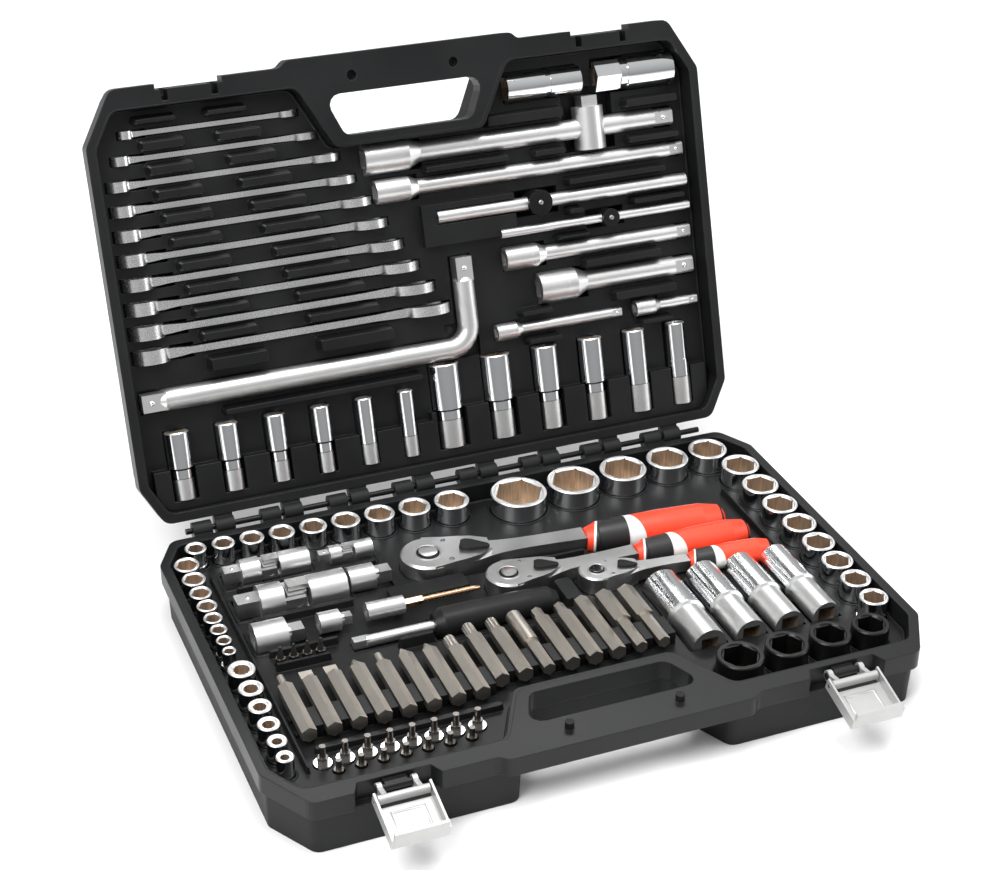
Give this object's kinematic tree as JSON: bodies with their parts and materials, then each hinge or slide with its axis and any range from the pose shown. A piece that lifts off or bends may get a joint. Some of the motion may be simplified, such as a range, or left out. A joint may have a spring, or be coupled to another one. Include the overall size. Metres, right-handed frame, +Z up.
{
  "type": "socket_wrench_set",
  "caption": "Socket and wrench set in a black moulded folding case: ratchets with orange grips, sockets, bits, extension bars and combination wrenches",
  "frame": {"origin": "centre of the base's footprint, on the floor it stands on", "axes": "+X along the hinge, to the right seen from the latches; +Y from the latches towards the hinge; +Z up"},
  "size_m": [0.47, 0.5039, 0.3488],
  "materials": {
    "case_plastic": "coarse moulded texture, satin flange",
    "tray_plastic": "satin moulded plastic",
    "bright_chrome": "polished chrome plate",
    "satin_steel": "satin chrome plate",
    "bit_steel": "warm sandblasted tool steel",
    "black_steel": "black phosphate, slightly glossy",
    "latch_metal": "light silver, satin",
    "pin_steel": "drawn steel",
    "copper_bit": "copper coloured coating",
    "orange_grip": "soft touch, red-orange with white stripes",
    "black_grip": "hard black plastic"
  },
  "bodies": {
    "base": {"base_shell": "case_plastic", "base_tray": "tray_plastic", "hinge_rod": "pin_steel", "sockets_half": "bright_chrome", "sockets_three_eighth": "bright_chrome", "sockets_quarter": "bright_chrome", "sockets_star": "bright_chrome", "sockets_impact": "black_steel", "sockets_half_deep": "bright_chrome", "universal_joints": "bright_chrome", "drive_adapters": "bright_chrome", "long_bits": "bit_steel", "short_bits": "bit_steel", "bit_sockets": "bit_steel"},
    "lid": {"lid_shell": "case_plastic", "lid_tray": "tray_plastic", "extension_bars": "bright_chrome", "sockets_quarter_deep": "bright_chrome", "sockets_three_eighth_deep": "bright_chrome", "spark_plug_sockets": "bright_chrome", "combination_wrenches": "bright_chrome"},
    "latch_link_left": {"latch_link_left": "latch_metal", "latch_pin_left": "pin_steel"},
    "latch_lever_left": {"latch_lever_left": "latch_metal"},
    "latch_link_right": {"latch_link_right": "latch_metal", "latch_pin_right": "pin_steel"},
    "latch_lever_right": {"latch_lever_right": "latch_metal"},
    "ratchet_half": {"ratchet_half_body": "satin_steel", "ratchet_half_grip": "orange_grip", "ratchet_half_collar": "black_grip"},
    "ratchet_half_drive": {"ratchet_half_drive": "bright_chrome"},
    "ratchet_half_pawl": {"ratchet_half_pawl": "pin_steel"},
    "ratchet_half_lever": {"ratchet_half_lever": "black_steel"},
    "ratchet_half_button": {"ratchet_half_button": "bright_chrome"},
    "ratchet_three_eighth": {"ratchet_three_eighth_body": "satin_steel", "ratchet_three_eighth_grip": "orange_grip", "ratchet_three_eighth_collar": "black_grip"},
    "ratchet_three_eighth_drive": {"ratchet_three_eighth_drive": "bright_chrome"},
    "ratchet_three_eighth_pawl": {"ratchet_three_eighth_pawl": "pin_steel"},
    "ratchet_three_eighth_lever": {"ratchet_three_eighth_lever": "black_steel"},
    "ratchet_three_eighth_button": {"ratchet_three_eighth_button": "bright_chrome"},
    "ratchet_quarter": {"ratchet_quarter_body": "satin_steel", "ratchet_quarter_grip": "orange_grip", "ratchet_quarter_collar": "black_grip"},
    "ratchet_quarter_drive": {"ratchet_quarter_drive": "bright_chrome"},
    "ratchet_quarter_pawl": {"ratchet_quarter_pawl": "pin_steel"},
    "ratchet_quarter_lever": {"ratchet_quarter_lever": "black_steel"},
    "ratchet_quarter_button": {"ratchet_quarter_button": "bright_chrome"},
    "spinner": {"spinner_shaft": "bright_chrome", "spinner_handle": "black_grip"},
    "bit_holder": {"bit_holder": "bright_chrome"},
    "holder_bit": {"holder_bit": "copper_bit"},
    "offset_handle": {"offset_handle": "bright_chrome"},
    "extension_half_long": {"extension_half_long": "bright_chrome"},
    "t_bar_three_eighth": {"t_bar_three_eighth": "bright_chrome"},
    "t_bar_quarter": {"t_bar_quarter": "bright_chrome"},
    "sliding_head_half": {"sliding_head_half": "bright_chrome"},
    "t_head_three_eighth": {"t_head_three_eighth": "black_steel"},
    "t_head_quarter": {"t_head_quarter": "black_steel"}
  },
  "joints": [
    {"name": "lid_hinge", "type": "hinge", "parent": "base", "child": "lid", "pos_m": [0, 0.163, 0.044], "axis": [-1, 0, 0], "range_deg": [-109.3, 0]},
    {"name": "latch_link_left_swing", "type": "hinge", "parent": "base", "child": "latch_link_left", "pos_m": [-0.1575, -0.151, 0.039], "axis": [-1, 0, 0], "range_deg": [-76.5, 0]},
    {"name": "latch_lever_left_swing", "type": "hinge", "parent": "latch_link_left", "child": "latch_lever_left", "pos_m": [-0.1575, -0.16331, 0.04117], "axis": [1, 0, 0], "range_deg": [-181.5, 0]},
    {"name": "latch_link_right_swing", "type": "hinge", "parent": "base", "child": "latch_link_right", "pos_m": [0.1575, -0.151, 0.039], "axis": [-1, 0, 0], "range_deg": [-76.5, 0]},
    {"name": "latch_lever_right_swing", "type": "hinge", "parent": "latch_link_right", "child": "latch_lever_right", "pos_m": [0.1575, -0.16331, 0.04117], "axis": [1, 0, 0], "range_deg": [-181.5, 0]},
    {"name": "ratchet_half_lift", "type": "slide", "parent": "base", "child": "ratchet_half", "axis": [0, 0, 1], "range_m": [0, 0.06]},
    {"name": "ratchet_half_drive_spin", "type": "hinge", "parent": "ratchet_half", "child": "ratchet_half_drive", "pos_m": [-0.052, 0.0775, 0.0315], "axis": [0, 0, 1], "continuous": true},
    {"name": "ratchet_half_button_press", "type": "slide", "parent": "ratchet_half_drive", "child": "ratchet_half_button", "axis": [0, 0, 1], "range_m": [-0.0015, 0], "stiffness_N_per_m": 400},
    {"name": "ratchet_half_lever_turn", "type": "hinge", "parent": "ratchet_half", "child": "ratchet_half_lever", "pos_m": [-0.02311, 0.07497, 0.0315], "axis": [0, 0, 1], "range_deg": [0, 44]},
    {"name": "ratchet_half_pawl_rock", "type": "hinge", "parent": "ratchet_half", "child": "ratchet_half_pawl", "pos_m": [-0.02311, 0.07497, 0.0315], "axis": [0, 0, 1], "range_deg": [0, 8]},
    {"name": "ratchet_three_eighth_lift", "type": "slide", "parent": "base", "child": "ratchet_three_eighth", "axis": [0, 0, 1], "range_m": [0, 0.06]},
    {"name": "ratchet_three_eighth_drive_spin", "type": "hinge", "parent": "ratchet_three_eighth", "child": "ratchet_three_eighth_drive", "pos_m": [-0.008, 0.0325, 0.03402], "axis": [0, 0, 1], "continuous": true},
    {"name": "ratchet_three_eighth_button_press", "type": "slide", "parent": "ratchet_three_eighth_drive", "child": "ratchet_three_eighth_button", "axis": [0, 0, 1], "range_m": [-0.00123, 0], "stiffness_N_per_m": 400},
    {"name": "ratchet_three_eighth_lever_turn", "type": "hinge", "parent": "ratchet_three_eighth", "child": "ratchet_three_eighth_lever", "pos_m": [0.01578, 0.0325, 0.03402], "axis": [0, 0, 1], "range_deg": [0, 44]},
    {"name": "ratchet_three_eighth_pawl_rock", "type": "hinge", "parent": "ratchet_three_eighth", "child": "ratchet_three_eighth_pawl", "pos_m": [0.01578, 0.0325, 0.03402], "axis": [0, 0, 1], "range_deg": [0, 8]},
    {"name": "ratchet_quarter_lift", "type": "slide", "parent": "base", "child": "ratchet_quarter", "axis": [0, 0, 1], "range_m": [0, 0.06]},
    {"name": "ratchet_quarter_drive_spin", "type": "hinge", "parent": "ratchet_quarter", "child": "ratchet_quarter_drive", "pos_m": [0.0515, 0.0132, 0.03626], "axis": [0, 0, 1], "continuous": true},
    {"name": "ratchet_quarter_button_press", "type": "slide", "parent": "ratchet_quarter_drive", "child": "ratchet_quarter_button", "axis": [0, 0, 1], "range_m": [-0.00099, 0], "stiffness_N_per_m": 400},
    {"name": "ratchet_quarter_lever_turn", "type": "hinge", "parent": "ratchet_quarter", "child": "ratchet_quarter_lever", "pos_m": [0.07058, 0.0117, 0.03626], "axis": [0, 0, 1], "range_deg": [0, 44]},
    {"name": "ratchet_quarter_pawl_rock", "type": "hinge", "parent": "ratchet_quarter", "child": "ratchet_quarter_pawl", "pos_m": [0.07058, 0.0117, 0.03626], "axis": [0, 0, 1], "range_deg": [0, 8]},
    {"name": "spinner_lift", "type": "slide", "parent": "base", "child": "spinner", "axis": [0, 0, 1], "range_m": [0, 0.06]},
    {"name": "bit_holder_lift", "type": "slide", "parent": "base", "child": "bit_holder", "axis": [0, 0, 1], "range_m": [0, 0.05]},
    {"name": "holder_bit_pull", "type": "slide", "parent": "bit_holder", "child": "holder_bit", "axis": [1, 0, 0], "range_m": [0, 0.002]},
    {"name": "offset_handle_lift", "type": "slide", "parent": "lid", "child": "offset_handle", "axis": [0, -0.9438, 0.3305], "range_m": [0, 0.05]},
    {"name": "extension_half_long_lift", "type": "slide", "parent": "lid", "child": "extension_half_long", "axis": [0, -0.9438, 0.3305], "range_m": [0, 0.05]},
    {"name": "t_bar_three_eighth_lift", "type": "slide", "parent": "lid", "child": "t_bar_three_eighth", "axis": [0, -0.9438, 0.3305], "range_m": [0, 0.05]},
    {"name": "t_bar_quarter_lift", "type": "slide", "parent": "lid", "child": "t_bar_quarter", "axis": [0, -0.9438, 0.3305], "range_m": [0, 0.05]},
    {"name": "sliding_head_half_slide", "type": "slide", "parent": "extension_half_long", "child": "sliding_head_half", "axis": [1, 0, 0], "range_m": [-0.008, 0.008]},
    {"name": "t_head_three_eighth_slide", "type": "slide", "parent": "t_bar_three_eighth", "child": "t_head_three_eighth", "axis": [1, 0, 0], "range_m": [-0.008, 0.008]},
    {"name": "t_head_quarter_slide", "type": "slide", "parent": "t_bar_quarter", "child": "t_head_quarter", "axis": [1, 0, 0], "range_m": [-0.008, 0.008]}
  ],
  "couplings": [
    {"joint": "latch_link_left_swing", "follows": "latch_lever_left_swing", "ratio": 0.42149},
    {"joint": "latch_link_right_swing", "follows": "latch_lever_right_swing", "ratio": 0.42149},
    {"joint": "ratchet_half_pawl_rock", "follows": "ratchet_half_lever_turn", "ratio": 0.18182},
    {"joint": "ratchet_three_eighth_pawl_rock", "follows": "ratchet_three_eighth_lever_turn", "ratio": 0.18182},
    {"joint": "ratchet_quarter_pawl_rock", "follows": "ratchet_quarter_lever_turn", "ratio": 0.18182}
  ]
}
